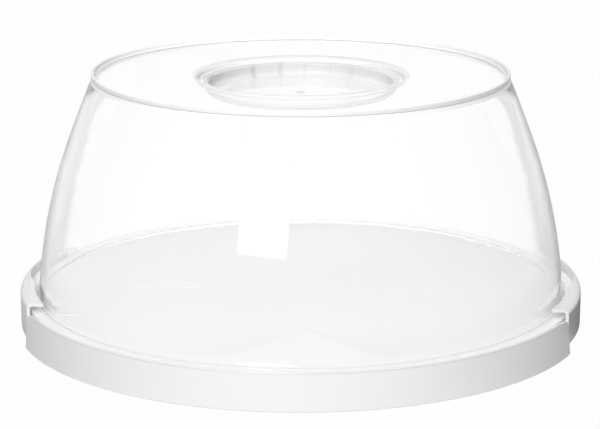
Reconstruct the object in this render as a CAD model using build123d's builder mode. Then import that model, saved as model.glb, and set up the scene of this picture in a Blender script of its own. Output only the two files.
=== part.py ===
from build123d import *

import math
import os

# All sizes are in millimetres. The tray stands on the plane z = 0 and the
# carrier's axis is Z. The latches lie on the +X and -X sides, and the rear of
# the carrier is towards +Y.

# Serving tray
TRAY_RADIUS = 175.0  # outside of the skirt, where it stands on the table
SKIRT_LEAN = 2.0  # how far the skirt leans in between its foot and its rim
SKIRT_WALL = 2.2
RIM_HEIGHT = 22.5  # top of the rim above the table
RIM_WALL = 2.0
RIM_OUTER_ROUND = 1.5
RIM_INNER_ROUND = 0.3
SEAT_DEPTH = 3.0  # how far the plate lies below the top of the rim
PLATE_THICKNESS = 2.2
RAMP_LENGTH = 15.0  # the rim slopes down to each latch over this length
RAMP_DROP = 2.4

# Portion marks on the plate
MARK_COUNT = 6
MARK_INNER_RADIUS = 25.0
MARK_OUTER_RADIUS = 118.0
MARK_WIDTH = 0.9
MARK_DEPTH = 0.35

# Ribs under the plate
RIB_THICKNESS = 1.6
RIB_HEIGHT = 6.0
RIB_RING_RADII = (52.0, 112.0)
RADIAL_RIB_COUNT = 6

# Lid
SEAT_CLEARANCE = 0.8  # between the edge of the lid's flange and the rim
FLANGE_WIDTH = 8.6
FLANGE_THICKNESS = 2.4
FLANGE_EDGE_ROUND = 0.6
LID_WALL = 2.4
FOOT_ROUND = 1.8  # where the dome's wall rises from the flange
WAIST_INSET = 17.7  # how far the wall has leaned in at the waist
WAIST_HEIGHT = 90.5  # above the plate
WAIST_BULGE = 3.1  # bow of the wall below the waist
CROWN_INSET = 35.3  # how far the wall has leaned in at the top panel
CROWN_HEIGHT = 135.6  # top panel above the plate
CROWN_BULGE = 0.3  # bow of the wall above the waist
BEAD_HEIGHT = 3.0  # stacking bead above the top panel
BEAD_WIDTH = 2.0
BEAD_OVERHANG = 0.5
BEAD_ROUND = 0.85
BEAD_FOOT_ROUND = 2.0

# Grip recess in the lid's top panel
RECESS_RADIUS = 62.0  # mouth, at the ledge
RECESS_MOUTH_ROUND = 3.0
LEDGE_DROP = 3.4  # from the top panel down to the ledge
LEDGE_WIDTH = 5.8
LEDGE_ROUND = 1.2
RECESS_DEPTH = 11.1  # from the top panel down to the recess floor
RECESS_FLOOR_ROUND = 3.4
GATE_RADIUS = 2.2
GATE_HEIGHT = 0.5

# Latches
LATCH_SETBACK = 2.3  # outside of a latch at its middle, behind the foot of the skirt
LATCH_FLATTENING = 13.3  # the latch's curve is this much wider than its distance from the axis
LATCH_HALF_LENGTH = 65.1
LATCH_SHEET = 1.9
LATCH_CORNER_ROUND = 3.4
LATCH_TAIL = 4.4  # how far a latch reaches below its pins
HOOK_RISE = 3.7  # underside of the hook above the lid's flange
HOOK_STANDOFF = 2.7  # edge of the hook from the foot of the dome
SCOOP_RADIUS = 84.0  # finger scoop in the edge of the hook
SCOOP_ANGLE = 9.0  # degrees, middle of the scoop behind the latch's middle

# Latch hinges
HINGE_SPREAD = 22.0  # middle of each hinge from the latch's middle
PIN_RADIUS = 1.5
PIN_CHAMFER = 0.3
PIN_CLEARANCE = 0.05  # radial, between a pin and the latch's knuckle
LUG_RADIUS = 3.0
LUG_WIDTH = 4.0
KNUCKLE_WIDTH = 6.0
KNUCKLE_GAP = 0.4
LUG_CLEARANCE = 0.44  # between the rounded lugs and the latch's inner face
FLOOR_CLEARANCE = 1.1  # between the table and the latch at its lowest

# Bays in the skirt that hold the latches
BAY_REACH = 8.5  # from the pins in to the bay's back wall
BAY_END_GAP = 0.4  # between a latch's end and the skirt
PLATE_EDGE_GAP = 0.3  # between the plate's edge and a closed latch

# ------------------------------------------------------------ derived places
plate_top = RIM_HEIGHT - SEAT_DEPTH
plate_underside = plate_top - PLATE_THICKNESS
rim_outer_radius = TRAY_RADIUS - SKIRT_LEAN
rim_inner_radius = rim_outer_radius - RIM_WALL

flange_radius = rim_inner_radius - SEAT_CLEARANCE
foot_radius = flange_radius - FLANGE_WIDTH
flange_top = plate_top + FLANGE_THICKNESS
waist_radius = foot_radius - WAIST_INSET
waist_z = plate_top + WAIST_HEIGHT
crown_radius = foot_radius - CROWN_INSET
panel_z = plate_top + CROWN_HEIGHT
ledge_z = panel_z - LEDGE_DROP
recess_floor_z = panel_z - RECESS_DEPTH
recess_wall_radius = RECESS_RADIUS - LEDGE_WIDTH
bead_outer_radius = crown_radius + BEAD_OVERHANG
bead_inner_radius = bead_outer_radius - BEAD_WIDTH
bead_top = panel_z + BEAD_HEIGHT

latch_face_radius = TRAY_RADIUS - LATCH_SETBACK
latch_curve_radius = latch_face_radius + LATCH_FLATTENING
latch_centre_x = -LATCH_FLATTENING
latch_inner_curve = latch_curve_radius - LATCH_SHEET
hook_underside = flange_top + HOOK_RISE
latch_top = hook_underside + LATCH_SHEET
hook_edge_radius = foot_radius + HOOK_STANDOFF
latch_wall_radius = latch_face_radius - LATCH_SHEET
scoop_centre_radius = latch_wall_radius - SCOOP_RADIUS

lug_outer_y = HINGE_SPREAD + KNUCKLE_WIDTH / 2 + KNUCKLE_GAP + LUG_WIDTH
latch_inner_x_at_lug = latch_centre_x + math.sqrt(latch_inner_curve**2 - lug_outer_y**2)
hinge_x = latch_inner_x_at_lug - LUG_RADIUS - LUG_CLEARANCE
hinge_z = math.hypot(latch_face_radius - hinge_x, LATCH_TAIL) + FLOOR_CLEARANCE
latch_bottom = hinge_z - LATCH_TAIL
pin_length = 2 * (KNUCKLE_WIDTH / 2 + KNUCKLE_GAP + LUG_WIDTH)

bay_back_x = hinge_x - BAY_REACH
bay_half_width = LATCH_HALF_LENGTH + BAY_END_GAP
bay_wall_x = bay_back_x - SKIRT_WALL
bay_wall_half = bay_half_width + SKIRT_WALL
plate_edge_radius = latch_wall_radius - PLATE_EDGE_GAP

SIDES = (-1, 1)
ENDS = (-1, 1)


def upright_plane(y):
    """Plane facing -Y at the given distance behind the axis: local x is X, local y is Z."""
    return Plane.XZ.offset(-y)


def corner_at(line_or_sketch, x, y):
    """Corner of a profile that lies nearest to the given point."""
    return line_or_sketch.vertices().sort_by_distance((x, y, 0))[0]


def barrel_profile(side, y, arm_x):
    """Section of a rounded lug or knuckle about the pin line, with an arm that reaches arm_x."""
    with BuildSketch(upright_plane(y)) as profile:
        with Locations((side * hinge_x, hinge_z)):
            Circle(LUG_RADIUS)
        with Locations((side * (hinge_x + arm_x) / 2, hinge_z)):
            Rectangle(abs(arm_x - hinge_x), 2 * LUG_RADIUS)
    return profile.sketch


def bore_profile(side, y, radius):
    """Circle on the pin line, for a pin or for the bore around it."""
    with BuildSketch(upright_plane(y)) as profile:
        with Locations((side * hinge_x, hinge_z)):
            Circle(radius)
    return profile.sketch


# --------------------------------------------------------------- serving tray
# Hollow under the plate, which leaves the walls of the two bays
with BuildPart() as underside_hollow:
    with BuildSketch(Plane.XZ):
        with BuildLine():
            Polyline(
                (0, 0),
                (TRAY_RADIUS - SKIRT_WALL, 0),
                (rim_inner_radius, plate_underside),
                (0, plate_underside),
                close=True,
            )
        make_face()
    revolve(axis=Axis.Z)
    with BuildSketch(Plane.XY):
        for side in SIDES:
            with Locations((side * (bay_wall_x + TRAY_RADIUS / 2), 0)):
                Rectangle(TRAY_RADIUS, 2 * bay_wall_half)
    extrude(amount=plate_underside, mode=Mode.SUBTRACT)

with BuildPart() as base_tray:
    # Plate, rim and the outside of the skirt
    with BuildSketch(Plane.XZ):
        with BuildLine():
            Polyline(
                (0, 0),
                (TRAY_RADIUS, 0),
                (rim_outer_radius, RIM_HEIGHT),
                (rim_inner_radius, RIM_HEIGHT),
                (rim_inner_radius, plate_top),
                (0, plate_top),
                close=True,
            )
        make_face()
    revolve(axis=Axis.Z)
    rim_edges = base_tray.edges().filter_by(GeomType.CIRCLE).group_by(Axis.Z)[-1].sort_by(SortBy.RADIUS)
    fillet(rim_edges[-1], RIM_OUTER_ROUND)
    rim_edges = base_tray.edges().filter_by(GeomType.CIRCLE).group_by(Axis.Z)[-1].sort_by(SortBy.RADIUS)
    fillet(rim_edges[0], RIM_INNER_ROUND)

    add(underside_hollow.part, mode=Mode.SUBTRACT)

    # Ribs under the plate
    with BuildSketch(Plane.XY.offset(plate_underside)):
        for ring_radius in RIB_RING_RADII:
            Circle(ring_radius + RIB_THICKNESS / 2)
            Circle(ring_radius - RIB_THICKNESS / 2, mode=Mode.SUBTRACT)
        rib_span = bay_wall_x - RIB_RING_RADII[0]
        with PolarLocations(RIB_RING_RADII[0] + rib_span / 2, RADIAL_RIB_COUNT):
            Rectangle(rib_span, RIB_THICKNESS)
    extrude(amount=-RIB_HEIGHT)

    for side in SIDES:
        # Bay under the plate, and the gap in the skirt and rim in front of the plate's edge
        with BuildSketch(Plane.XY):
            with Locations((side * (bay_back_x + TRAY_RADIUS / 2), 0)):
                Rectangle(TRAY_RADIUS, 2 * bay_half_width)
        extrude(amount=plate_underside, mode=Mode.SUBTRACT)
        with BuildSketch(Plane.XY):
            with Locations((side * (bay_back_x + TRAY_RADIUS / 2), 0)):
                Rectangle(TRAY_RADIUS, 2 * bay_half_width)
            Circle(plate_edge_radius, mode=Mode.SUBTRACT)
        extrude(amount=RIM_HEIGHT, mode=Mode.SUBTRACT)

        # Sloped ends of the rim beside the latch
        for end in ENDS:
            with BuildSketch(Plane.YZ.offset(side * bay_back_x)):
                with BuildLine():
                    Polyline(
                        (end * bay_half_width, RIM_HEIGHT - RAMP_DROP),
                        (end * (bay_half_width + RAMP_LENGTH), RIM_HEIGHT),
                        (end * bay_half_width, RIM_HEIGHT),
                        close=True,
                    )
                make_face()
            extrude(amount=TRAY_RADIUS / 4, both=True, mode=Mode.SUBTRACT)

        # Hinge lugs on the bay's back wall
        for end in ENDS:
            for step in (-1, 1):
                lug_y = end * HINGE_SPREAD + step * (KNUCKLE_WIDTH / 2 + KNUCKLE_GAP + LUG_WIDTH / 2)
                lug_profile = barrel_profile(side, lug_y, bay_back_x - SKIRT_WALL / 2)
                extrude(lug_profile, amount=LUG_WIDTH / 2, both=True)
            pin_bore = bore_profile(side, end * HINGE_SPREAD, PIN_RADIUS)
            extrude(pin_bore, amount=pin_length, both=True, mode=Mode.SUBTRACT)

    # Portion marks pressed into the plate
    mark_span = MARK_OUTER_RADIUS - MARK_INNER_RADIUS
    with BuildSketch(Plane.XY.offset(plate_top)):
        with PolarLocations(MARK_INNER_RADIUS + mark_span / 2, MARK_COUNT):
            SlotOverall(mark_span, MARK_WIDTH)
    extrude(amount=-MARK_DEPTH, mode=Mode.SUBTRACT)

# ----------------------------------------------------------------------- lid
with BuildPart() as lid:
    with BuildSketch(Plane.XZ) as lid_section:
        # Sheet of even thickness: flange, wall, top panel, ledge and recess
        with BuildLine() as lid_line:
            Line((flange_radius, flange_top), (foot_radius, flange_top))
            SagittaArc((foot_radius, flange_top), (waist_radius, waist_z), -WAIST_BULGE)
            SagittaArc((waist_radius, waist_z), (crown_radius, panel_z), -CROWN_BULGE)
            Polyline(
                (crown_radius, panel_z),
                (RECESS_RADIUS, panel_z),
                (RECESS_RADIUS, ledge_z),
                (recess_wall_radius, ledge_z),
                (recess_wall_radius, recess_floor_z),
                (0, recess_floor_z),
            )
            fillet(corner_at(lid_line, foot_radius, flange_top), FOOT_ROUND)
            fillet(corner_at(lid_line, RECESS_RADIUS, panel_z), RECESS_MOUTH_ROUND)
            fillet(corner_at(lid_line, recess_wall_radius, ledge_z), LEDGE_ROUND)
            fillet(corner_at(lid_line, recess_wall_radius, recess_floor_z), RECESS_FLOOR_ROUND)
            offset(amount=LID_WALL, side=Side.LEFT)
        make_face()
        # Stacking bead around the top panel
        with BuildLine() as bead_line:
            Polyline(
                (bead_outer_radius, panel_z),
                (bead_outer_radius, bead_top),
                (bead_inner_radius, bead_top),
                (bead_inner_radius, panel_z),
                (bead_inner_radius - BEAD_HEIGHT, panel_z),
            )
            fillet(corner_at(bead_line, bead_outer_radius, bead_top), BEAD_ROUND)
            fillet(corner_at(bead_line, bead_inner_radius, bead_top), BEAD_ROUND)
            fillet(corner_at(bead_line, bead_inner_radius, panel_z), BEAD_FOOT_ROUND)
            Polyline(
                (bead_inner_radius - BEAD_HEIGHT, panel_z),
                (bead_inner_radius - BEAD_HEIGHT, panel_z - LID_WALL / 2),
                (bead_inner_radius, panel_z - LID_WALL / 2),
                (bead_outer_radius, panel_z),
            )
        make_face()
    revolve(axis=Axis.Z)
    level_edges = lid.edges().filter_by(GeomType.CIRCLE).filter_by(Plane.XY)
    fillet(level_edges.group_by(SortBy.RADIUS)[-1].sort_by(Axis.Z)[-1], FLANGE_EDGE_ROUND)

    # Moulding gate in the middle of the recess
    with BuildSketch(Plane.XY.offset(recess_floor_z)):
        Circle(GATE_RADIUS)
    extrude(amount=GATE_HEIGHT)

# ------------------------------------------------------------------- latches
with BuildPart() as latch:
    # Curved wall with the hook turned in at its top
    with BuildSketch(Plane.XZ):
        with BuildLine() as latch_line:
            Polyline(
                (latch_face_radius, latch_bottom),
                (latch_face_radius, latch_top),
                (hook_edge_radius - LATCH_CORNER_ROUND, latch_top),
            )
            fillet(corner_at(latch_line, latch_face_radius, latch_top), LATCH_CORNER_ROUND)
            offset(amount=LATCH_SHEET, side=Side.LEFT)
        make_face()
    revolve(axis=Axis((latch_centre_x, 0, 0), (0, 0, 1)))
    with BuildSketch(Plane.XY):
        with Locations((TRAY_RADIUS, 0)):
            Rectangle(TRAY_RADIUS, 2 * LATCH_HALF_LENGTH)
    extrude(amount=2 * latch_top, mode=Mode.INTERSECT)

    # Edge of the hook: a circle around the dome with a finger scoop behind the middle
    with BuildSketch(Plane.XY.offset(hook_underside - HOOK_RISE / 2)):
        Circle(hook_edge_radius)
        with PolarLocations(scoop_centre_radius, 1, start_angle=SCOOP_ANGLE):
            Circle(SCOOP_RADIUS)
    extrude(amount=HOOK_RISE + LATCH_SHEET, mode=Mode.SUBTRACT)

    # Hinge knuckles
    for end in ENDS:
        knuckle_y = end * HINGE_SPREAD
        wall_x = latch_centre_x + math.sqrt(latch_inner_curve**2 - knuckle_y**2) + LATCH_SHEET / 2
        extrude(barrel_profile(1, knuckle_y, wall_x), amount=KNUCKLE_WIDTH / 2, both=True)
        knuckle_bore = bore_profile(1, knuckle_y, PIN_RADIUS + PIN_CLEARANCE)
        extrude(knuckle_bore, amount=KNUCKLE_WIDTH, both=True, mode=Mode.SUBTRACT)

with BuildPart() as mirrored_latch:
    add(mirror(latch.part, about=Plane.YZ))


def hinge_pin(side, y):
    """Steel pin through two lugs and the knuckle between them."""
    with BuildPart() as pin:
        extrude(bore_profile(side, y, PIN_RADIUS), amount=pin_length / 2, both=True)
        chamfer(pin.edges().filter_by(GeomType.CIRCLE), PIN_CHAMFER)
    return pin.part


pins = {}
for side, side_name in zip(SIDES, ("left", "right")):
    for end, end_name in zip(ENDS, ("front", "rear")):
        pins[f"hinge_pin_{side_name}_{end_name}"] = hinge_pin(side, end * HINGE_SPREAD)

# -------------------------------------------------------------------- export
pieces = {
    "base_tray": base_tray.part,
    "lid": lid.part,
    "latch_left": mirrored_latch.part,
    "latch_right": latch.part,
}
pieces.update(pins)
os.makedirs("parts", exist_ok=True)
for name, piece in pieces.items():
    piece.label = name
    export_step(piece, f"parts/{name}.step")
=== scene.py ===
"""Round cake carrier: a white serving tray, a clear lift-off dome and two swing-out latches."""

import logging
import math
from collections.abc import Iterable, Iterator
from contextlib import contextmanager
from dataclasses import dataclass
from enum import Enum

import bpy
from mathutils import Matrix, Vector


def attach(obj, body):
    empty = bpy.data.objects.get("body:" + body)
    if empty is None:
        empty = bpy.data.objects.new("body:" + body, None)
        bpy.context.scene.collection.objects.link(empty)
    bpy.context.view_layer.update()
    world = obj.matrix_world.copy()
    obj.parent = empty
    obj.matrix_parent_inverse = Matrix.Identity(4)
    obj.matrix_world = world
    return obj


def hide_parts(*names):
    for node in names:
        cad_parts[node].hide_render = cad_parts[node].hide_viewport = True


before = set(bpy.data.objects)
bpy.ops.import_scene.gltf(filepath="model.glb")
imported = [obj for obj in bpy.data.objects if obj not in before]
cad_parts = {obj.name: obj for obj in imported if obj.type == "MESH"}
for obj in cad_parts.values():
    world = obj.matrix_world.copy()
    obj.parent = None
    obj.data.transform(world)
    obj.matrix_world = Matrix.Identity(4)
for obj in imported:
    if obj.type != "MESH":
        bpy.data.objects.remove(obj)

logger = logging.getLogger("cake_carrier")

MM = 0.001
FULL_TURN_DEG = 360.0
ARC_STEP_DEG = 9.0
EASED_FROM_DEG = 50.0
FLAT_DEG = 0.05
OUTLINE_MERGE = 0.002
TURNED_MERGE = 0.004
SPOKE_COUNT = 6
ARM_SHARE = 0.98
ZONE_FADE = 0.3
PLASTIC_IOR = 1.49
FADE_IN = (0.0, 1.0)
FADE_OUT = (1.0, 0.0)
# Where the right-hand hinge pins run: along X and above the table, in millimetres
HINGE = (164.9973, 9.9708)

Point = tuple[float, float]
Place = tuple[float, float, float]
Colour = tuple[float, float, float]
Piece = bpy.types.Object
Socket = bpy.types.NodeSocket
Sockets = bpy.types.bpy_prop_collection


class Side(Enum):
    """The two sides of the carrier that have a latch."""

    LEFT = -1
    RIGHT = 1

    @property
    def label(self) -> str:
        """Name of the side in lower case."""
        return self.name.lower()

    def corners(self, low: Place, high: Place) -> tuple[Place, Place]:
        """Move the corners of a block on the right to this side.

        Args:
            low: The block's lowest corner.
            high: Its highest corner.

        Returns:
            Its lowest and highest corner on this side.
        """
        if self is Side.RIGHT:
            return low, high
        return (-high[0], *low[1:]), (-low[0], *high[1:])


class Join(Enum):
    """How a tool shape is joined with the piece it works on."""

    CUT = "DIFFERENCE"
    ADD = "UNION"


class Curve(Enum):
    """How a ramp runs from its start to its end."""

    STRAIGHT = "LINEAR"
    SOFT = "SMOOTHSTEP"


class Mixed(Enum):
    """What a Mix node mixes: its data type, its first value's socket and its result's."""

    NUMBERS = ("FLOAT", 2, 0)
    COLOURS = ("RGBA", 6, 2)


# ---------- outlines
@dataclass(frozen=True)
class Corner:
    """A corner of an outline, in millimetres.

    Attributes:
        out: Distance from the axis.
        up: Height above the table.
        round: Radius of the corner, or 0 for a plain point.
    """

    out: float
    up: float
    round: float = 0.0


@dataclass(frozen=True)
class Bow:
    """A shallow arc of an outline that bulges away from the axis, in millimetres."""

    start: Point
    end: Point
    bulge: float

    def corners(self, count: int, inset: float = 0.0) -> list[Corner]:
        """Plain corners along the arc, or along one set in towards its centre.

        Args:
            count: Number of corners, both ends included.
            inset: How far they lie inside the arc.

        Returns:
            The corners from start to end.
        """
        (x0, z0), (x1, z1) = self.start, self.end
        chord = math.hypot(x1 - x0, z1 - z0)
        radius = (chord**2 / 4 + self.bulge**2) / (2 * self.bulge)
        away = ((z1 - z0) / chord, -(x1 - x0) / chord)
        depth = radius - self.bulge
        centre_x = (x0 + x1) / 2 - away[0] * depth
        centre_z = (z0 + z1) / 2 - away[1] * depth
        first = math.atan2(z0 - centre_z, x0 - centre_x)
        last = math.atan2(z1 - centre_z, x1 - centre_x)
        angles = [first + (last - first) * i / (count - 1) for i in range(count)]
        reach = radius - inset
        return [Corner(centre_x + reach * math.cos(a), centre_z + reach * math.sin(a)) for a in angles]


def rounded(corners: list[Corner], closed: bool = False) -> list[Point]:
    """Turn corners into points, with an arc at each corner that has a radius.

    Args:
        corners: The corners in order.
        closed: Whether the last corner joins the first.

    Returns:
        The outline's points, in millimetres.
    """
    points: list[Point] = []
    for index, corner in enumerate(corners):
        at_end = not closed and index in (0, len(corners) - 1)
        if corner.round <= 0 or at_end:
            points.append((corner.out, corner.up))
            continue
        here = Vector((corner.out, corner.up))
        before, after = corners[index - 1], corners[(index + 1) % len(corners)]
        back = (Vector((before.out, before.up)) - here).normalized()
        ahead = (Vector((after.out, after.up)) - here).normalized()
        half = back.angle(ahead) / 2
        centre = here + (back + ahead).normalized() * corner.round / math.sin(half)
        first = here + back * corner.round / math.tan(half) - centre
        last = here + ahead * corner.round / math.tan(half) - centre
        start = math.atan2(first.y, first.x)
        sweep = math.remainder(math.atan2(last.y, last.x) - start, math.tau)
        steps = max(2, math.ceil(math.degrees(abs(sweep)) / ARC_STEP_DEG))
        for step in range(steps + 1):
            angle = start + sweep * step / steps
            out, up = corner.round * math.cos(angle), corner.round * math.sin(angle)
            points.append((centre.x + out, centre.y + up))
    return points


def rectangle(low: Point, high: Point) -> list[Point]:
    """Closed outline of a rectangle between two corners."""
    return [low, (high[0], low[1]), high, (low[0], high[1]), low]


# ---------- modelling
def deselect_all() -> None:
    """Leave edit mode and deselect every object."""
    if bpy.context.object is not None and bpy.context.object.mode != "OBJECT":
        bpy.ops.object.mode_set(mode="OBJECT")
    bpy.ops.object.select_all(action="DESELECT")


def select_only(piece: Piece) -> None:
    """Make one object the only selected and active one.

    Args:
        piece: The object.
    """
    deselect_all()
    piece.select_set(True)
    bpy.context.view_layer.objects.active = piece


@contextmanager
def edited(piece: Piece) -> Iterator[None]:
    """Hold a piece in edit mode, with its whole mesh selected at first.

    Args:
        piece: The piece.

    Yields:
        Nothing, while the piece is in edit mode.
    """
    select_only(piece)
    bpy.ops.object.mode_set(mode="EDIT")
    bpy.ops.mesh.select_all(action="SELECT")
    yield
    bpy.ops.object.mode_set(mode="OBJECT")


def face_outward() -> None:
    """Turn all faces of the mesh in edit mode outward."""
    bpy.ops.mesh.select_all(action="SELECT")
    bpy.ops.mesh.normals_make_consistent(inside=False)


def merge_close(distance: float) -> None:
    """Merge points of the mesh in edit mode that lie close together, and select all of it.

    Args:
        distance: Largest distance between them, in millimetres.
    """
    bpy.ops.mesh.select_all(action="SELECT")
    bpy.ops.mesh.remove_doubles(threshold=distance * MM)
    bpy.ops.mesh.select_all(action="SELECT")


def settle(piece: Piece, name: str) -> Piece:
    """Name a piece and put its place into its mesh.

    Args:
        piece: The object to settle.
        name: Its name.

    Returns:
        The same object, at the origin, unturned and unscaled.
    """
    select_only(piece)
    bpy.ops.object.transform_apply(location=True, rotation=True, scale=True)
    piece.name = piece.data.name = name
    return piece


def modify(piece: Piece, kind: str, **settings: object) -> None:
    """Give a piece a modifier and apply it.

    Args:
        piece: The piece.
        kind: Type of the modifier.
        settings: The modifier's settings.
    """
    select_only(piece)
    modifier = piece.modifiers.new(kind.lower(), kind)
    for key, value in settings.items():
        setattr(modifier, key, value)
    bpy.ops.object.modifier_apply(modifier=modifier.name)


def turned(
    name: str, outline: list[Point], steps: int, centre_x: float = 0.0, sweep: float = FULL_TURN_DEG
) -> Piece:
    """Draw an outline point by point and spin it about an upright axis.

    Args:
        name: Name of the new piece.
        outline: The points, in millimetres from the tray's axis and above the table. They start and
            end on the axis, or they come back to where they start.
        steps: Number of steps of the spin.
        centre_x: Place of the axis along X, in millimetres.
        sweep: Angle of the spin in degrees, centred on the X axis where it isn't a full turn.

    Returns:
        The closed piece.
    """
    axis = (centre_x * MM, 0, 0)
    deselect_all()
    bpy.ops.mesh.primitive_plane_add(size=MM, location=(outline[0][0] * MM, 0, outline[0][1] * MM))
    piece = bpy.context.object
    bpy.ops.object.mode_set(mode="EDIT")
    bpy.ops.mesh.merge(type="CENTER")
    for (x0, z0), (x1, z1) in zip(outline, outline[1:]):
        step = ((x1 - x0) * MM, 0, (z1 - z0) * MM)
        bpy.ops.mesh.extrude_vertices_move(TRANSFORM_OT_translate={"value": step})
    merge_close(OUTLINE_MERGE)
    bpy.ops.mesh.spin(steps=steps, angle=math.radians(sweep), center=axis, axis=(0, 0, 1))
    merge_close(TURNED_MERGE)
    if sweep < FULL_TURN_DEG:
        bpy.ops.mesh.select_all(action="DESELECT")
        bpy.ops.mesh.select_mode(type="EDGE")
        bpy.ops.mesh.select_non_manifold()
        bpy.ops.mesh.edge_face_add()
        bpy.ops.mesh.select_mode(type="VERT")
    face_outward()
    settle(piece, name)
    if sweep < FULL_TURN_DEG:
        mean_y = sum(vertex.co.y for vertex in piece.data.vertices)
        # With no window a positive value turns clockwise
        half = math.copysign(math.radians(sweep) / 2, mean_y)
        with edited(piece):
            bpy.ops.transform.rotate(value=half, orient_axis="Z", center_override=axis)
    return piece


def block(name: str, low: Place, high: Place) -> Piece:
    """Add a block between two corners.

    Args:
        name: Name of the new object.
        low: Its lowest corner, in millimetres.
        high: Its highest corner, in millimetres.

    Returns:
        The settled block.
    """
    deselect_all()
    centre = [(a + b) / 2 * MM for a, b in zip(low, high)]
    size = [(b - a) * MM for a, b in zip(low, high)]
    bpy.ops.mesh.primitive_cube_add(size=1, location=centre, scale=size)
    return settle(bpy.context.object, name)


def rod(name: str, low: Place, high: Place, radius: float, sides: int = 40) -> Piece:
    """Add a cylinder that lies along Y or stands upright.

    Args:
        name: Name of the new object.
        low: Middle of its front or lower end, in millimetres.
        high: Middle of its other end, in millimetres.
        radius: Its radius.
        sides: Number of its sides.

    Returns:
        The settled cylinder.
    """
    deselect_all()
    bpy.ops.mesh.primitive_cylinder_add(
        vertices=sides,
        radius=radius * MM,
        depth=max(b - a for a, b in zip(low, high)) * MM,
        location=[(a + b) / 2 * MM for a, b in zip(low, high)],
        rotation=(math.pi / 2 if high[1] > low[1] else 0.0, 0, 0),
    )
    return settle(bpy.context.object, name)


def spokes(name: str, low: Place, high: Place) -> list[Piece]:
    """Add a block that points away from the axis, and its copies all around.

    Args:
        name: Name of the new objects.
        low: Lowest corner of the block along X, in millimetres.
        high: Its highest corner, in millimetres.

    Returns:
        The settled blocks.
    """
    pieces = []
    for index in range(SPOKE_COUNT):
        spoke = block(name, low, high)
        spoke.rotation_euler.z = math.tau * index / SPOKE_COUNT
        pieces.append(settle(spoke, name))
    return pieces


def hinge_eye(name: str, side: Side, radius: float, span: Point, arm: Point) -> Piece:
    """Add an eye for a hinge pin, with an arm that ties it to a wall.

    Args:
        name: Name of the new piece.
        side: Its side of the carrier.
        radius: Radius of the eye.
        span: Where the eye starts and ends along Y.
        arm: Where the arm starts and ends along X, on the right.

    Returns:
        The eye, not bored yet.
    """
    (x, height), half = HINGE, radius * ARM_SHARE
    x *= side.value
    eye = rod(name, (x, span[0], height), (x, span[1], height), radius)
    corners = side.corners((arm[0], span[0], height - half), (arm[1], span[1], height + half))
    work(eye, [block(f"{name}_arm", *corners)], Join.ADD)
    return eye


def bore_rods(sides: Iterable[Side], radius: float, span: Point) -> list[Piece]:
    """Add rods that bore the hinge eyes in front and at the rear.

    Args:
        sides: The sides of the carrier that they are for.
        radius: Radius of the bores.
        span: Where the rods start and end along Y, counted from the middle.

    Returns:
        The rods.
    """
    rods = []
    for x in (side.value * HINGE[0] for side in sides):
        for low, high in ((-span[1], -span[0]), span):
            rods.append(rod("bore", (x, low, HINGE[1]), (x, high, HINGE[1]), radius))
    return rods


def on_both_sides(name: str, low: Place, high: Place) -> list[Piece]:
    """Add a block between two corners on the right, and the same on the left."""
    return [block(name, *side.corners(low, high)) for side in Side]


def trim(piece: Piece, half_length: float) -> Piece:
    """Cut a piece to length along Y and close the cuts.

    Args:
        piece: The piece to cut.
        half_length: How far it reaches to the front and the rear, in millimetres.

    Returns:
        The same piece.
    """
    for end in (1, -1):
        with edited(piece):
            place = (0, end * half_length * MM, 0)
            bpy.ops.mesh.bisect(plane_co=place, plane_no=(0, end, 0), use_fill=True, clear_outer=True)
            face_outward()
    return piece


def work(piece: Piece, tools: list[Piece], join: Join) -> None:
    """Cut tools out of a piece or add them to it, and remove the tools.

    Args:
        piece: The piece that changes.
        tools: The tool shapes, which stay clear of one another.
        join: Whether they are cut out or added.
    """
    select_only(tools[0])
    for tool in tools[1:]:
        tool.select_set(True)
    bpy.ops.object.join()
    tool = bpy.context.object
    modify(piece, "BOOLEAN", object=tool, operation=join.value, solver="EXACT")
    select_only(tool)
    bpy.ops.object.delete()


def ease_edges(piece: Piece, width: float) -> None:
    """Join the faces of a piece that lie in one plane, and bevel its sharp edges.

    Args:
        piece: The piece.
        width: Width of the bevel in millimetres.
    """
    with edited(piece):
        bpy.ops.mesh.dissolve_limited(angle_limit=math.radians(FLAT_DEG))
    limit = {"limit_method": "ANGLE", "angle_limit": math.radians(EASED_FROM_DEG)}
    modify(piece, "BEVEL", width=width * MM, segments=3, use_clamp_overlap=True, **limit)


def smooth(piece: Piece, limit: float) -> None:
    """Shade a piece smooth, with its flat faces kept flat up to their rounded edges.

    Args:
        piece: The piece.
        limit: Edges that turn by more than this, in degrees, stay sharp.
    """
    select_only(piece)
    bpy.ops.object.shade_smooth_by_angle(angle=math.radians(limit))
    modify(piece, "WEIGHTED_NORMAL", mode="FACE_AREA", weight=100, keep_sharp=True)


def mirrored(piece: Piece, name: str) -> Piece:
    """Copy a piece to the other side of the carrier.

    Args:
        piece: The piece on the right.
        name: Name of the copy.

    Returns:
        The copy, with its own mesh and its faces outward.
    """
    select_only(piece)
    bpy.ops.object.duplicate()
    copy = bpy.context.object
    copy.scale = (-1, 1, 1)
    settle(copy, name)
    with edited(copy):
        face_outward()
    return copy


# ---------- finishes
def radians(degrees: Point) -> Point:
    """Turn a pair of angles into radians."""
    return math.radians(degrees[0]), math.radians(degrees[1])


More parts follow.
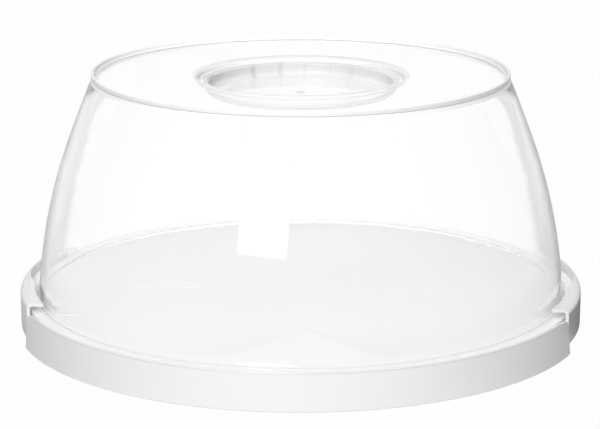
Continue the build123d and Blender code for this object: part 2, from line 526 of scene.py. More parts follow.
class NodeBoard:
    """Short calls that add and join the nodes of one material, world or lamp."""

    def __init__(self, tree: bpy.types.NodeTree) -> None:
        """Take over a node tree and empty it."""
        self.tree = tree
        tree.nodes.clear()

    def add(self, kind: str, **settings: object) -> bpy.types.Node:
        """Add a node.

        Args:
            kind: Its type, without the leading ShaderNode.
            settings: Attributes of the node, or what feeds its input sockets, where an underscore
                stands for a space.

        Returns:
            The new node.
        """
        node = self.tree.nodes.new("ShaderNode" + kind)
        for key, value in settings.items():
            if hasattr(node, key):
                setattr(node, key, value)
            else:
                self.feed(node.inputs[key.replace("_", " ")], value)
        return node

    def feed(self, target: Socket, value: object) -> None:
        """Join an output to an input, or set the input's own value.

        Args:
            target: The input.
            value: The output, or a plain value.
        """
        if isinstance(value, Socket):
            self.tree.links.new(value, target)
        else:
            target.default_value = value

    def math(self, operation: str, *values: object, clamp: bool = False) -> Socket:
        """Add Math nodes.

        Args:
            operation: What they do.
            values: The numbers or sockets that they take in, one after another.
            clamp: Whether the result stays between 0 and 1.

        Returns:
            The result's socket.
        """
        result, *others = values
        for value in others or [0.0]:
            node = self.add("Math", operation=operation, use_clamp=clamp)
            self.feed(node.inputs[0], result)
            self.feed(node.inputs[1], value)
            result = node.outputs[0]
        return result

    def mix(self, factor: Socket, first: object, second: object, mixed: Mixed = Mixed.COLOURS) -> Socket:
        """Mix two colours or two numbers.

        Args:
            factor: Share of the second one.
            first: A plain colour or a socket.
            second: Another.
            mixed: What they are.

        Returns:
            The mixture's socket.
        """
        data_type, place, result = mixed.value
        node = self.add("Mix", data_type=data_type, Factor=factor)
        for target, value in zip(node.inputs[place:place + 2], (first, second)):
            self.feed(target, value if isinstance(value, Socket) else (*value, 1))
        return node.outputs[result]

    def blend(self, factor: Socket, first: bpy.types.Node, second: bpy.types.Node) -> None:
        """Blend two shaders into the material's output.

        Args:
            factor: Share of the second one.
            first: A shader.
            second: Another.
        """
        node = self.add("MixShader")
        for target, value in zip(node.inputs, (factor, first.outputs[0], second.outputs[0])):
            self.feed(target, value)
        self.add("OutputMaterial", Surface=node.outputs[0])

    def ramp(
        self, value: Socket, limits: Point, levels: Point = FADE_IN, curve: Curve = Curve.SOFT
    ) -> Socket:
        """Map a range of values onto another.

        Args:
            value: The socket to read.
            limits: The range's ends.
            levels: Results at these ends and past them.
            curve: How the result runs from one to the other.

        Returns:
            The result's socket.
        """
        ends = dict(zip(("From_Min", "From_Max", "To_Min", "To_Max"), (*limits, *levels)))
        node = self.add("MapRange", interpolation_type=curve.value, Value=value, **ends)
        return node.outputs["Result"]

    def ring(self, radius: Socket, up: Socket, radii: Point, heights: Point) -> Socket:
        """Tell what lies in a ring around the Z axis.

        Args:
            radius: Distance from the axis.
            up: Height.
            radii: Limits of the distance, in millimetres.
            heights: Limits of the height, in millimetres.

        Returns:
            The socket of a number that is 1 in the ring and 0 outside it.
        """
        edges = [
            self.ramp(value, ((edge - ZONE_FADE) * MM, (edge + ZONE_FADE) * MM), levels)
            for value, limits in ((radius, radii), (up, heights))
            for edge, levels in zip(limits, (FADE_IN, FADE_OUT))
        ]
        return self.math("MULTIPLY", *edges)

    def parts(self, vector: Socket) -> Sockets:
        """Split a vector into X, Y and Z."""
        return self.add("SeparateXYZ", Vector=vector).outputs

    def polar(self, place: Socket) -> tuple[Socket, ...]:
        """Split a place around the Z axis.

        Args:
            place: Object coordinates.

        Returns:
            The distance from the axis, the turn from +Y towards +X, Y and Z.
        """
        across, along, up = self.parts(place)
        squares = [self.math("MULTIPLY", part, part) for part in (across, along)]
        return self.math("SQRT", self.math("ADD", *squares)), self.math("ARCTAN2", across, along), along, up


def new_material(name: str) -> tuple[bpy.types.Material, NodeBoard, Socket]:
    """Start a material.

    Args:
        name: Its name.

    Returns:
        The material, a board for its nodes, and its Object coordinates.
    """
    material = bpy.data.materials.new(name)
    material.use_nodes = True
    board = NodeBoard(material.node_tree)
    return material, board, board.add("TexCoord").outputs["Object"]


@dataclass(frozen=True)
class MouldedPlastic:
    """Opaque moulded plastic with a fine grain, slightly uneven gloss and, where given, a ring of painted
    shade.

    Attributes:
        name: Name of the material.
        colour: Its colour, linear.
        shade: Its colour where it is a little duller.
        roughness: Middle roughness.
        uneven: How far the roughness strays from it.
        cloud: Range of the noise that varies the colour and the roughness.
        grain: Height of the grain in millimetres.
        edge: Radii and heights of a rounded edge painted darker, as painted shade, in millimetres.
        painted_edge_shade: How bright that painted shade is against the rest.
    """

    name: str
    colour: Colour
    shade: Colour
    roughness: float = 0.32
    uneven: float = 0.06
    cloud: Point = (0.1, 0.9)
    grain: float = 0.004
    edge: tuple[Point, Point] | None = None
    painted_edge_shade: float = 0.76

    def material(self) -> bpy.types.Material:
        """Build the material.

        Returns:
            The material.
        """
        material, board, place = new_material(self.name)
        cloud = board.add("TexNoise", Vector=place, Scale=14.0, Detail=3.0, Roughness=0.5).outputs["Fac"]
        grain = board.add("TexNoise", Vector=place, Scale=1400.0, Detail=2.0, Roughness=0.55).outputs["Fac"]
        bump = board.add("Bump", Strength=0.35, Distance=self.grain * MM, Height=grain)
        colour = board.mix(board.ramp(cloud, self.cloud, curve=Curve.STRAIGHT), self.shade, self.colour)
        # Painted shade: the ring on the rounded edge gets a darker colour.
        if self.edge is not None:
            radius, _, _, up = board.polar(place)
            darker_colour = tuple(self.painted_edge_shade * part for part in self.colour)
            colour = board.mix(board.ring(radius, up, *self.edge), colour, darker_colour)
        rough = (self.roughness + self.uneven, self.roughness - self.uneven)
        plastic = board.add(
            "BsdfPrincipled",
            IOR=PLASTIC_IOR,
            Base_Color=colour,
            Roughness=board.ramp(cloud, self.cloud, rough, Curve.STRAIGHT),
            Normal=bump.outputs["Normal"],
        )
        board.add("OutputMaterial", Surface=plastic.outputs["BSDF"])
        return material


@dataclass(frozen=True)
class FrostZone:
    """Ring of a clear piece that scatters more light and can be painted darker, with its limits in
    millimetres.

    Attributes:
        radii: Inner and outer distance from the axis.
        heights: Lowest and highest point.
        haze: Share of light that is scattered there.
        shade: Brightness of its colour, below 1 where it is painted shade.
        shaded_rear: Whether it is the rear half only, painted darker with upright bands.
    """

    radii: Point
    heights: Point
    haze: float
    shade: float = 1.0
    shaded_rear: bool = False


@dataclass(frozen=True)
class ShadeStreak:
    """Upright band painted on the rear of a wall: broad ones as painted shade and light, narrow ones as
    darker streaks.

    Attributes:
        turn_deg: Its place around the axis, from the rear towards the right.
        half_width_deg: Half of its width.
        depth: How much darker it is than the wall.
    """

    turn_deg: float
    half_width_deg: float
    depth: float


@dataclass(frozen=True)
class ClearPlastic:
    """Clear polished plastic with the faint waves of a thin moulding.

    Attributes:
        name: Name of the material.
        zones: Rings where it is frosted.
        marks: Bands of painted shade and light, and darker streaks, on the shaded rear one of them.
        tint: Colour of light that has passed through, linear.
        haze: Share of light that the plastic scatters elsewhere.
        haze_blur: How much haze roughens the gloss.
        polish: Least and greatest roughness.
        wave: Height of the waves in millimetres.
        shadow: Colour of the light that falls through it onto matt surfaces.
        rear_from: Where the rear half, which gets the painted shade, fades in along Y, in millimetres.
        mark_core: Share of a mark's width that is darkest.
        cloud: Range of the noise that varies the gloss.
    """

    name: str
    zones: tuple[FrostZone, ...] = ()
    marks: tuple[ShadeStreak, ...] = ()
    tint: Colour = (0.996, 0.998, 0.998)
    haze: float = 0.04
    haze_blur: float = 0.6
    polish: Point = (0.012, 0.03)
    wave: float = 0.02
    shadow: Colour = (0.985, 0.987, 0.987)
    rear_from: Point = (-4.0, 8.0)
    mark_core: float = 0.2
    cloud: Point = (0.35, 0.7)

    def material(self) -> bpy.types.Material:
        """Build the material.

        Returns:
            The material.
        """
        material, board, place = new_material(self.name)
        waves = board.add("TexNoise", Vector=place, Scale=22.0, Detail=1.5, Roughness=0.45).outputs["Fac"]
        gloss = board.add("TexNoise", Vector=place, Scale=9.0, Detail=2.0).outputs["Fac"]
        bump = board.add("Bump", Strength=0.3, Distance=self.wave * MM, Height=waves)
        haze, shade = self.frost(board, place)
        blur = board.math("MULTIPLY", board.math("SUBTRACT", haze, self.haze), self.haze_blur)
        plastic = board.add(
            "BsdfPrincipled",
            IOR=PLASTIC_IOR,
            Base_Color=board.mix(shade, (0, 0, 0), self.tint),
            Roughness=board.math("ADD", board.ramp(gloss, self.cloud, self.polish), blur),
            Transmission_Weight=board.math("SUBTRACT", 1.0, haze),
            Normal=bump.outputs["Normal"],
        )
        passing = board.add("BsdfTransparent", Color=(*self.shadow, 1))
        path = board.add("LightPath").outputs
        board.blend(board.math("MAXIMUM", path["Is Shadow Ray"], path["Is Diffuse Ray"]), plastic, passing)
        return material

    def frost(self, board: NodeBoard, place: Socket) -> tuple[object, object]:
        """Work out how hazy the plastic is at each place and how bright its colour is painted there.

        Args:
            board: The material's nodes.
            place: Object coordinates.

        Returns:
            The share of light that is scattered, and the colour's brightness with its painted shade.
        """
        radius, turn, along, up = board.polar(place)
        rear = board.ramp(along, (self.rear_from[0] * MM, self.rear_from[1] * MM))
        shaded_rear: object = 0.0
        # Painted shade and light: upright bands around the axis add to the darkening.
        for mark in self.marks:
            away = board.math("ABSOLUTE", board.math("SUBTRACT", turn, math.radians(mark.turn_deg)))
            half = math.radians(mark.half_width_deg)
            depth = board.ramp(away, (half * self.mark_core, half), (mark.depth, 0.0))
            shaded_rear = board.math("ADD", shaded_rear, depth)
        haze: object = self.haze
        shade: object = 1.0
        for zone in self.zones:
            inside = board.ring(radius, up, zone.radii, zone.heights)
            loss: object = 1.0 - zone.shade
            # Painted shade on the rear half only, deepened by the bands.
            if zone.shaded_rear:
                inside = board.math("MULTIPLY", inside, rear)
                loss = board.math("ADD", loss, shaded_rear)
            haze = board.math("MAXIMUM", haze, board.math("MULTIPLY", inside, zone.haze))
            left_over = board.math("SUBTRACT", 1.0, board.math("MULTIPLY", inside, loss))
            shade = board.math("MULTIPLY", shade, left_over)
        return haze, shade


@dataclass(frozen=True)
class PinSteel:
    """Drawn steel wire with fine scratches along it.

    Attributes:
        name: Name of the material.
        colour: Its colour, linear.
        scratch_shade: How bright the scratches are against it.
        stretch: Scale of the scratches' pattern along X, Y and Z.
        roughness: Roughness in the scratches and between them.
        cloud: Range of the noise that makes them.
    """

    name: str
    colour: Colour = (0.56, 0.56, 0.57)
    scratch_shade: float = 0.75
    stretch: Place = (1.0, 0.04, 1.0)
    roughness: Point = (0.4, 0.25)
    cloud: Point = (0.3, 0.7)

    def material(self) -> bpy.types.Material:
        """Build the material.

        Returns:
            The material.
        """
        material, board, place = new_material(self.name)
        along = board.add("Mapping", Vector=place, Scale=self.stretch).outputs["Vector"]
        scratches = board.add("TexNoise", Vector=along, Scale=6000.0, Detail=3.0).outputs["Fac"]
        darker_colour = tuple(self.scratch_shade * part for part in self.colour)
        steel = board.add(
            "BsdfPrincipled",
            Metallic=1.0,
            Base_Color=board.mix(scratches, darker_colour, self.colour),
            Roughness=board.ramp(scratches, self.cloud, self.roughness),
        )
        board.add("OutputMaterial", Surface=steel.outputs["BSDF"])
        return material


def dress(piece: Piece, material: bpy.types.Material) -> None:
    """Give a piece one material all over.

    Args:
        piece: The piece.
        material: Its material.
    """
    if not piece.data.materials:
        piece.data.materials.append(material)
    for slot in piece.material_slots:
        slot.material = material


# ---------- the carrier
@dataclass
class ServingTray:
    """The white tray: plate, rim and skirt, with two bays for the latches. Sizes in millimetres."""

    foot_radius: float = 175.0
    foot_inner_radius: float = 172.8
    rim_radius: float = 173.0
    rim_inner_radius: float = 171.0
    rim_height: float = 22.5
    plate_top: float = 19.5
    plate_underside: float = 17.3
    bay_end: float = 180.0
    bay_back: float = 156.497
    bay_wall: float = 2.2
    bay_wall_end: Point = (159.3, 17.9)
    bay_half_width: float = 65.5
    gap_section: tuple[Point, Point] = ((170.5, 16.0), (180.0, 25.0))
    ramp_length: float = 15.0
    ramp_drop: float = 2.4
    ramp_cut: tuple[Place, Place] = ((130.0, -20.0, 0.0), (180.0, 20.0, 6.0))
    ring_radii: Point = (52.0, 112.0)
    rib_thickness: float = 1.6
    rib_levels: Point = (11.3, 18.1)
    rib_end: float = 154.897
    mark_radii: Point = (25.0, 118.0)
    mark_width: float = 0.9
    mark_depth: float = 0.1
    lug_radius: float = 3.0
    lug_places: tuple[float, ...] = (-16.6, -27.4, 16.6, 27.4)
    lug_width: float = 4.0
    bore_radius: float = 1.52
    bore_span: Point = (14.0, 30.0)
    turn_steps: int = 288
    rib_steps: int = 144
    gap_steps: int = 96
    gap_sweep_deg: float = 60.0
    sharp_deg: float = 32.0
    # The rim's rounded outer edge carries a ring of painted shade.
    finish: MouldedPlastic = MouldedPlastic(
        "tray_white", (0.905, 0.905, 0.9), (0.885, 0.887, 0.885), edge=((172.1, 173.8), (21.3, 22.9))
    )

    def build(self) -> Piece:
        """Make the tray's mesh.

        Returns:
            The finished tray.
        """
        tray = turned("serving_tray", self.outline(), self.turn_steps)
        work(tray, self.bay_walls(), Join.ADD)
        work(tray, self.ring_ribs(), Join.ADD)
        work(tray, self.radial_ribs(), Join.ADD)
        work(tray, self.bay_cuts(), Join.CUT)
        work(tray, self.rim_gaps(), Join.CUT)
        work(tray, self.ramp_cuts(), Join.CUT)
        work(tray, self.lugs(), Join.ADD)
        work(tray, bore_rods(Side, self.bore_radius, self.bore_span) + self.marks(), Join.CUT)
        smooth(tray, self.sharp_deg)
        return tray

    def outline(self) -> list[Point]:
        """Draw the section of the plate, rim and skirt.

        Returns:
            Its points, from the axis over the top to the axis below.
        """
        return rounded([
            Corner(0, self.plate_top),
            Corner(self.rim_inner_radius, self.plate_top, 0.4),
            Corner(self.rim_inner_radius, self.rim_height, 0.3),
            Corner(self.rim_radius, self.rim_height, 1.2),
            Corner(self.foot_radius, 0, 0.35),
            Corner(self.foot_inner_radius, 0, 0.35),
            Corner(self.rim_inner_radius, self.plate_underside, 1.0),
            Corner(0, self.plate_underside),
        ])

    def bay_walls(self) -> list[Piece]:
        """Blocks of which the cuts leave the back and end walls of the two bays."""
        reach, (end, top) = self.bay_half_width + self.bay_wall, self.bay_wall_end
        return on_both_sides("bay_wall", (self.bay_back - self.bay_wall, -reach, 0.0), (end, reach, top))

    def ring_ribs(self) -> list[Piece]:
        """Ring ribs under the plate."""
        (low, high), half = self.rib_levels, self.rib_thickness / 2
        sections = [rectangle((radius - half, low), (radius + half, high)) for radius in self.ring_radii]
        return [turned("ring_rib", section, self.rib_steps) for section in sections]

    def radial_ribs(self) -> list[Piece]:
        """Radial ribs under the plate."""
        (low, high), half = self.rib_levels, self.rib_thickness / 2
        return spokes("radial_rib", (self.ring_radii[0], -half, low), (self.rib_end, half, high))

    def bay_cuts(self) -> list[Piece]:
        """Blocks that clear the two bays under the plate."""
        high = (self.bay_end, self.bay_half_width, self.plate_underside)
        return on_both_sides("bay_cut", (self.bay_back, -self.bay_half_width, -1.0), high)

    def rim_gaps(self) -> list[Piece]:
        """Shapes that clear the rim in front of the plate's edge."""
        gap = turned("rim_gap", rectangle(*self.gap_section), self.gap_steps, sweep=self.gap_sweep_deg)
        return [trim(gap, self.bay_half_width), mirrored(gap, "rim_gap_left")]

    def ramp_cuts(self) -> list[Piece]:
        """Add the blocks that slope the rim down towards the latches.

        Returns:
            The blocks.
        """
        tilt = math.atan2(self.ramp_drop, self.ramp_length)
        reach = self.bay_half_width + self.ramp_length
        cuts = []
        for end in (-1, 1):
            for cut in on_both_sides("ramp_cut", *self.ramp_cut):
                cut.rotation_euler.x = end * tilt
                cut.location = (0, end * reach * MM, self.rim_height * MM)
                cuts.append(settle(cut, "ramp_cut"))
        return cuts

    def lugs(self) -> list[Piece]:
        """Hinge lugs on the back walls of the bays, not bored yet."""
        spans = [(y - self.lug_width / 2, y + self.lug_width / 2) for y in self.lug_places]
        arm = (self.bay_back - self.bay_wall / 2, HINGE[0])
        return [hinge_eye("lug", side, self.lug_radius, span, arm) for side in Side for span in spans]

    def marks(self) -> list[Piece]:
        """Blocks that press the portion marks into the plate."""
        (near, far), half, top = self.mark_radii, self.mark_width / 2, self.plate_top
        return spokes("mark", (near, -half, top - self.mark_depth), (far, half, top + 1))

    def dress_and_place(self, tray: Piece) -> None:
        """Finish the tray and let it ride on the tray body.

        Args:
            tray: The tray.
        """
        dress(tray, self.finish.material())
        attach(tray, "tray")
        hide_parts("base_tray")


@dataclass
class ClearLid:
    """The clear dome: flange, leaning wall, panel with a bead, and grip recess. Sizes in millimetres."""

    wall: float = 2.4
    flange_radius: float = 170.2
    flange_top: float = 21.9
    flange_foot: float = 19.55
    foot: Point = (161.6, 21.9)
    foot_lean: float = 0.05
    waist: Point = (143.9, 110.0)
    crown: Point = (126.3, 155.1)
    waist_bulge: float = 3.1
    crown_bulge: float = 0.3
    bead_top: float = 158.1
    bead_radii: Point = (124.8, 126.8)
    bead_foot_drop: float = 0.6
    panel_corner: float = 0.9
    mouth_radius: float = 62.0
    ledge_height: float = 151.7
    recess_radius: float = 56.2
    recess_floor: float = 144.0
    gate_top_radius: float = 0.99
    gate_radius: float = 2.2
    gate_height: float = 0.08
    outer_corner_count: int = 22
    inner_corner_count: int = 20
    upper_corner_count: int = 9
    turn_steps: int = 288
    sharp_deg: float = 40.0
    finish: ClearPlastic = ClearPlastic(
        "clear_dome",
        (
            FrostZone((123.5, 130.0), (152.6, 160.0), 0.84),
            FrostZone((60.6, 65.8), (152.0, 157.0), 0.7),
            # The rear of the recess wall: painted shade, with the bands below.
            FrostZone((52.5, 60.3), (142.2, 152.3), 0.74, 0.83, shaded_rear=True),
            FrostZone((49.0, 61.0), (140.5, 145.4), 0.7),
            FrostZone((-1.0, 3.0), (143.0, 146.0), 0.6),
            FrostZone((164.2, 173.0), (18.0, 23.0), 0.55),
        ),
        (
            # Painted bands: shade at the left end, light at the right end, and narrow darker streaks.
            ShadeStreak(-85.0, 35.0, 0.05),
            ShadeStreak(80.0, 60.0, -0.12),
            ShadeStreak(-34.4, 2.6, 0.16),
            ShadeStreak(-15.6, 2.4, 0.1),
            ShadeStreak(0.3, 2.0, 0.05),
            ShadeStreak(17.3, 1.2, 0.04),
            ShadeStreak(31.8, 4.0, 0.05),
        ),
    )

    def build(self) -> Piece:
        """Make the lid's mesh.

        Returns:
            The finished lid.
        """
        outline = rounded(self.outer_corners() + self.inner_corners())
        lid = turned("clear_lid", outline, self.turn_steps)
        smooth(lid, self.sharp_deg)
        return lid

    def arcs(self, lower_count: int, inset: float = 0.0) -> tuple[list[Corner], list[Corner]]:
        """Draw the wall below and above the waist.

        Args:
            lower_count: Number of corners below the waist.
            inset: How far they lie inside the wall's outer face.

        Returns:
            The corners of both parts, upwards.
        """
        lower = Bow(self.foot, self.waist, self.waist_bulge).corners(lower_count, inset)
        upper = Bow(self.waist, self.crown, self.crown_bulge).corners(self.upper_corner_count, inset)
        return lower, upper

    def outer_corners(self) -> list[Corner]:
        """Draw the upper face of the section.

        Returns:
            Its corners, from the middle of the recess to the edge of the flange.
        """
        panel, gate_top = self.crown[1], self.recess_floor + self.gate_height
        lower, upper = self.arcs(self.outer_corner_count)
        return [
            Corner(0, gate_top),
            Corner(self.gate_top_radius, gate_top, 0.5),
            Corner(self.gate_radius, self.recess_floor, 0.8),
            Corner(self.recess_radius, self.recess_floor, 3.4),
            Corner(self.recess_radius, self.ledge_height, 1.2),
            Corner(self.mouth_radius, self.ledge_height, 0.5),
            Corner(self.mouth_radius, panel, 3.0),
            Corner(self.bead_radii[0], panel, 2.0),
            Corner(self.bead_radii[0], self.bead_top, 0.85),
            Corner(self.bead_radii[1], self.bead_top, 0.85),
            Corner(self.bead_radii[1], panel, 0.2),
            Corner(self.crown[0], panel - self.bead_foot_drop, 0.2),
            *reversed(upper[1:-1]),
            *reversed(lower[1:]),
            Corner(*self.foot, 1.8),
            Corner(self.flange_radius, self.flange_top, 0.6),
            Corner(self.flange_radius, self.flange_foot, 0.3),
        ]

    def inner_corners(self) -> list[Corner]:
        """Draw the lower face of the section.

        Returns:
            Its corners, from the flange back to the axis.
        """
        lower, upper = self.arcs(self.inner_corner_count, self.wall)
        under, under_ledge = self.crown[1] - self.wall, self.ledge_height - self.wall
        foot_out = lower[0].out - (self.flange_foot - lower[0].up) * self.foot_lean
        return [
            Corner(foot_out, self.flange_foot, 3.0),
            *lower[1:-1],
            *upper[1:-1],
            Corner(upper[-1].out + self.panel_corner, under, 1.5),
            Corner(self.mouth_radius + self.wall, under, 0.6),
            Corner(self.mouth_radius + self.wall, under_ledge, 2.4),
            Corner(self.recess_radius + self.wall, under_ledge, 0.6),
            Corner(self.recess_radius + self.wall, self.recess_floor - self.wall, 5.4),
            Corner(0, self.recess_floor - self.wall),
        ]

    def dress_and_place(self, lid: Piece) -> None:
        """Finish the lid and let it ride on the lid body.

        Args:
            lid: The lid.
        """
        dress(lid, self.finish.material())
        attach(lid, "lid")
        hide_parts("lid")


@dataclass
class SideLatch:
    """A curved latch that swings out on two pins and hooks over the lid's flange. Sizes in millimetres."""

    face_radius: float = 172.7
    flattening: float = 13.3
    sweep_deg: float = 50.0
    half_length: float = 65.1
    sheet: float = 1.9
    bottom: float = 5.5708
    top: float = 27.5
    corner_round: float = 3.4
    hook_reach: float = 11.8
    hook_edge_radius: float = 164.3
    scoop_radius: float = 84.0
    scoop_angle_deg: float = 9.0
    cut_past: Point = (1.5, 2.0)
    knuckle_radius: float = 3.0
    knuckle_width: float = 6.0
    knuckle_spread: float = 22.0
    bore_radius: float = 1.55
    bore_span: Point = (18.0, 26.0)
    edge_round: float = 0.6
    turn_steps: int = 20
    hook_sides: int = 360
    scoop_sides: int = 320
    sharp_deg: float = 35.0
    finish: MouldedPlastic = MouldedPlastic(
        "latch_white", (0.815, 0.815, 0.81), (0.795, 0.797, 0.795), 0.28
    )

    def build(self) -> Piece:
        """Make the right-hand latch's mesh.

        Returns:
            The finished latch.
        """
        shape = (self.outline(), self.turn_steps, -self.flattening, self.sweep_deg)
        latch = turned("side_latch_right", *shape)
        trim(latch, self.half_length)
        for cut in self.hook_cuts():
            work(latch, [cut], Join.CUT)
        ease_edges(latch, self.edge_round)
        work(latch, self.knuckles(), Join.ADD)
        work(latch, bore_rods([Side.RIGHT], self.bore_radius, self.bore_span), Join.CUT)
        smooth(latch, self.sharp_deg)
        return latch

    def outline(self) -> list[Point]:
        """Draw the section of the wall and the hook.

        Returns:
            Its points, closed.
        """
        inner, hook_end = self.face_radius - self.sheet, self.face_radius - self.hook_reach
        points = rounded([
            Corner(self.face_radius, self.bottom),
            Corner(self.face_radius, self.top, self.corner_round),
            Corner(hook_end, self.top),
            Corner(hook_end, self.top - self.sheet),
            Corner(inner, self.top - self.sheet, self.corner_round - self.sheet),
            Corner(inner, self.bottom),
        ], closed=True)
        return points + points[:1]

    def hook_cuts(self) -> list[Piece]:
        """Add the shapes that cut the edge of the hook and its finger scoop.

        Returns:
            The shapes, which overlap.
        """
        low, high = self.top - self.sheet - self.cut_past[0], self.top + self.cut_past[1]
        centre = self.face_radius - self.sheet - self.scoop_radius
        angle = math.radians(self.scoop_angle_deg)
        x, y = centre * math.cos(angle), centre * math.sin(angle)
        return [
            rod("hook_edge", (0, 0, low), (0, 0, high), self.hook_edge_radius, self.hook_sides),
            rod("scoop", (x, y, low), (x, y, high), self.scoop_radius, self.scoop_sides),
        ]

    def knuckles(self) -> list[Piece]:
        """Add the hinge knuckles on the latch's inner face.

        Returns:
            The knuckles, not bored yet.
        """
        middle = self.face_radius + self.flattening - self.sheet / 2
        arm = (HINGE[0], math.sqrt(middle**2 - self.knuckle_spread**2) - self.flattening)
        spans = [(y - self.knuckle_width / 2, y + self.knuckle_width / 2)
                 for y in (-self.knuckle_spread, self.knuckle_spread)]
        return [hinge_eye("knuckle", Side.RIGHT, self.knuckle_radius, span, arm) for span in spans]

    def dress_and_place(self, latch: Piece, side: Side) -> None:
        """Finish a latch and let it ride on its own body.

        Args:
            latch: The latch.
            side: Its side of the carrier.
        """
        dress(latch, self.finish.material())
        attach(latch, f"{side.label}_latch")
        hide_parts(f"latch_{side.label}")


@dataclass
class HingePins:
    """The four steel pins, kept as they are and given their finish."""

    finish: PinSteel = PinSteel("pin_steel_drawn")

    def dress(self) -> list[str]:
        """Give every pin its finish.

        Returns:
            The pins' names.
        """
        material = self.finish.material()
        names = [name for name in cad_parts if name.startswith("hinge_pin")]
        for name in names:
            dress(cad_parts[name], material)
        return names


# ---------- studio
@dataclass
class Studio:
    """Pale floor, soft lights, surroundings and camera, in metres unless a name says otherwise.

    The floor and the room are white in the middle, as seen from the camera's place, and greyer
    beside it up to the fade angles. A dark patch painted on the floor on the right is a painted
    reflection for polished faces. Levels are what polished faces show, lights are what falls on matt ones.
    """

    floor_size: float = 12.0
    floor_level: float = -0.0004
    floor_matt: float = 0.16
    floor_glow: float = 0.985
    camera_distance: float = 1.2953
    camera_height: float = 0.3976
    camera_azimuth_deg: float = 2.2
    camera_pitch_deg: float = 14.31
    lens_mm: float = 130.02
    sensor_mm: float = 36.0
    shift_x: float = -0.00135
    open_deg: float = 7.0
    open_fade: Point = (0.94, 1.06)
    left_level: float = 0.62
    right_level: float = 0.5
    floor_fade_deg: Point = (17.0, 20.0)
    room_fade_deg: Point = (38.0, 46.0)
    # Where the painted dark reflection lies on the floor, and how dark it is.
    dark_reflection_deg: Point = (7.2, 8.0)
    dark_reflection_front: Point = (-0.05, -0.01)
    dark_reflection_end: Point = (0.22, 0.25)
    dark_reflection_share: float = 0.95
    front_level: float = 0.88
    front_deg: Point = (120.0, 150.0)
    front_top: Point = (0.1, 0.3)
    left_light: float = 0.15
    right_light: float = 0.0
    front_light: float = 0.82
    front_turn_deg: float = 42.0
    front_start: Point = (-0.5, -0.69)
    rear_light: float = 0.3
    rear_start: float = 0.3
    top_light: float = 1.95
    top_start: float = 0.77
    lamp_place: Place = (-0.38, -1.50, 0.895)
    lamp_aim: Place = (0.0, 0.0, 0.06)
    lamp_size: Point = (0.68, 1.05)
    lamp_watts: float = 22.7
    lamp_fade: float = 0.05

    def build(self) -> None:
        """Set up everything around the carrier."""
        self.floor()
        self.world()
        self.lamp()
        self.camera()
        bpy.context.scene.view_settings.view_transform = "Standard"

    def floor(self) -> None:
        """Lay a pale floor that keeps the carrier's shadow."""
        deselect_all()
        bpy.ops.mesh.primitive_plane_add(size=self.floor_size, location=(0, 0, self.floor_level))
        floor = settle(bpy.context.object, "floor")
        material, board, place = new_material("floor_white")
        path = board.add("LightPath").outputs
        level = self.floor_brightness(board, place, path)
        camera_sees = path["Is Camera Ray"]
        white = board.add("Emission", Strength=1.0, Color=board.math("MAXIMUM", level, camera_sees))
        matt = board.add("BsdfDiffuse", Color=(*[self.floor_matt] * 3, 1))
        seen = board.math("MAXIMUM", camera_sees, path["Is Glossy Ray"], path["Is Transmission Ray"])
        board.blend(board.math("MULTIPLY", seen, self.floor_glow), matt, white)
        dress(floor, material)

    def floor_brightness(self, board: NodeBoard, place: Socket, path: Sockets) -> Socket:
        """Painted brightness of the floor as the carrier shows it, greyer at both sides and with a painted
        dark reflection.

        Args:
            board: The floor's nodes.
            place: Object coordinates.
            path: What is known about the light's path.

        Returns:
            The brightness, where 1 is white.
        """
        x, y, _ = board.parts(place)
        azimuth = math.radians(self.camera_azimuth_deg)
        across = board.math("SUBTRACT", x, self.camera_distance * math.sin(azimuth))
        along = board.math("ADD", y, self.camera_distance * math.cos(azimuth))
        level = self.side_level(board, across, along, self.floor_fade_deg)
        turn = board.math("ADD", board.math("ARCTAN2", across, along), azimuth)
        out = board.add("VectorMath", operation="LENGTH", Vector=place).outputs["Value"]
        # Painted dark reflection: a dark patch on the right that only glossy rays see.
        dark_reflection = board.math(
            "MULTIPLY",
            board.ramp(turn, radians(self.dark_reflection_deg), (0.0, self.dark_reflection_share)),
            board.ramp(y, self.dark_reflection_front),
            board.ramp(out, self.dark_reflection_end, FADE_OUT),
            board.math("SUBTRACT", path["Is Glossy Ray"], path["Is Transmission Ray"], clamp=True),
        )
        return board.math("MULTIPLY", level, board.math("SUBTRACT", 1.0, dark_reflection))

    def world(self) -> None:
        """Surround the carrier with a white room that has a darker strip at each side and in front."""
        world = bpy.data.worlds.new("studio")
        bpy.context.scene.world = world
        world.use_nodes = True
        board = NodeBoard(world.node_tree)
        way = board.parts(board.add("TexCoord").outputs["Generated"])
        rooms = (self.mirrored_room(board, way), self.soft_room(board, way))
        path = board.add("LightPath").outputs
        room = board.mix(path["Is Diffuse Ray"], *rooms, Mixed.NUMBERS)
        background = board.add("Background", Color=board.math("MAXIMUM", room, path["Is Camera Ray"]))
        board.add("OutputWorld", Surface=background.outputs["Background"])

    def mirrored_room(self, board: NodeBoard, way: Sockets) -> Socket:
        """Brightness of the room as polished plastic shows it.

        Args:
            board: The world's nodes.
            way: Parts of the direction along X, Y and Z.

        Returns:
            The brightness, where 1 is white.
        """
        across, along, up = way
        sides = self.side_level(board, across, along, self.room_fade_deg)
        turn = board.math("ABSOLUTE", board.math("ARCTAN2", across, along))
        front = board.ramp(turn, radians(self.front_deg))
        low = board.ramp(up, self.front_top, FADE_OUT)
        shade = board.math("MULTIPLY", front, low, 1.0 - self.front_level)
        return board.math("MULTIPLY", sides, board.math("SUBTRACT", 1.0, shade))

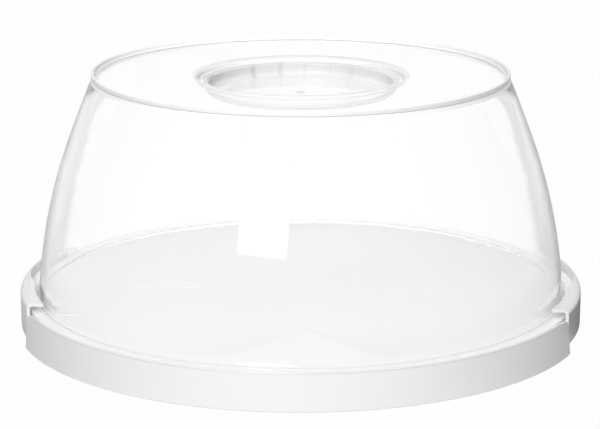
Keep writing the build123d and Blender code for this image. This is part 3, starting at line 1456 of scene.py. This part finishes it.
    def side_level(self, board: NodeBoard, across: Socket, along: Socket, fade: Point) -> Socket:
        """Brightness of the surroundings on both sides of the open white middle.

        Args:
            board: The nodes of the world or the floor.
            across: Part along X of the way to a place or of a direction.
            along: Its part along Y.
            fade: Angles on the left and right where it is white again, in degrees.

        Returns:
            The brightness, where 1 is white.
        """
        azimuth = math.radians(self.camera_azimuth_deg)
        turn = board.math("ADD", board.math("ARCTAN2", across, along), azimuth)
        aside = board.math("ABSOLUTE", turn)
        start = math.radians(self.open_deg)
        levels = (
            board.ramp(aside, (start, math.radians(end)), (level, 1.0), Curve.STRAIGHT)
            for level, end in zip((self.left_level, self.right_level), fade)
        )
        both = board.mix(board.math("GREATER_THAN", turn, 0.0), *levels, Mixed.NUMBERS)
        middle = board.ramp(aside, (start * self.open_fade[0], start * self.open_fade[1]), FADE_OUT)
        return board.math("MAXIMUM", both, middle)

    def soft_room(self, board: NodeBoard, way: Sockets) -> Socket:
        """Brightness of the room as it lights matt surfaces.

        Args:
            board: The world's nodes.
            way: Parts of the direction along X, Y and Z.

        Returns:
            The brightness, where 1 is white.
        """
        across, along, up = way
        turn = math.radians(self.front_turn_deg)
        ahead = board.math("MULTIPLY", along, math.cos(turn))
        ahead = board.math("SUBTRACT", ahead, board.math("MULTIPLY", across, math.sin(turn)))
        return board.math(
            "ADD",
            board.ramp(across, (-1.0, 1.0), (self.left_light, self.right_light)),
            board.ramp(ahead, self.front_start, (0.0, self.front_light)),
            board.ramp(up, (self.top_start, 1.0), (0.0, self.top_light)),
            board.ramp(along, (self.rear_start, 1.0), (0.0, self.rear_light)),
        )

    def lamp(self) -> None:
        """Place the tall soft lamp in front, a little to the left."""
        deselect_all()
        bpy.ops.object.light_add(type="AREA", location=self.lamp_place)
        lamp = bpy.context.object
        lamp.name = lamp.data.name = "key_light"
        lamp.data.shape = "RECTANGLE"
        lamp.data.size, lamp.data.size_y = self.lamp_size
        lamp.data.energy = self.lamp_watts
        way = Vector(self.lamp_aim) - Vector(self.lamp_place)
        lamp.rotation_euler = way.to_track_quat("-Z", "Y").to_euler()
        lamp.data.use_nodes = True
        board = NodeBoard(lamp.data.node_tree)
        strength: object = 1.0
        for share in board.parts(board.add("NewGeometry").outputs["Parametric"])[:2]:
            off_centre = board.math("ABSOLUTE", board.math("SUBTRACT", share, 0.5))
            fade = board.ramp(off_centre, (0.5 - self.lamp_fade, 0.5), FADE_OUT)
            strength = board.math("MULTIPLY", strength, fade)
        glow = board.add("Emission", Strength=strength)
        board.add("OutputLight", Surface=glow.outputs["Emission"])

    def camera(self) -> None:
        """Place the camera a little above the lid, in front of the carrier."""
        azimuth = math.radians(self.camera_azimuth_deg)
        across, along = self.camera_distance * math.sin(azimuth), -self.camera_distance * math.cos(azimuth)
        deselect_all()
        bpy.ops.object.camera_add(
            location=(across, along, self.camera_height),
            rotation=(math.radians(90 - self.camera_pitch_deg), 0, azimuth),
        )
        camera = bpy.context.object
        camera.data.lens = self.lens_mm
        camera.data.sensor_width = self.sensor_mm
        camera.data.shift_x = self.shift_x
        camera.data.clip_end = 50.0
        bpy.context.scene.camera = camera


def main() -> None:
    """Build the carrier and its studio, and report each piece."""
    logging.basicConfig(level=logging.INFO, format="%(name)s: %(message)s")
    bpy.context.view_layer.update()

    pieces = []
    for maker in (ServingTray(), ClearLid()):
        pieces.append(maker.build())
        maker.dress_and_place(pieces[-1])

    latch_maker = SideLatch()
    right_latch = latch_maker.build()
    left_latch = mirrored(right_latch, "side_latch_left")
    for latch, side in ((right_latch, Side.RIGHT), (left_latch, Side.LEFT)):
        latch_maker.dress_and_place(latch, side)
        pieces.append(latch)

    for piece in pieces:
        logger.info("%s: %d faces", piece.name, len(piece.data.polygons))
    for name in HingePins().dress():
        logger.info("%s: kept, with a new finish", name)

    Studio().build()
    deselect_all()


if __name__ == "__main__":
    main()
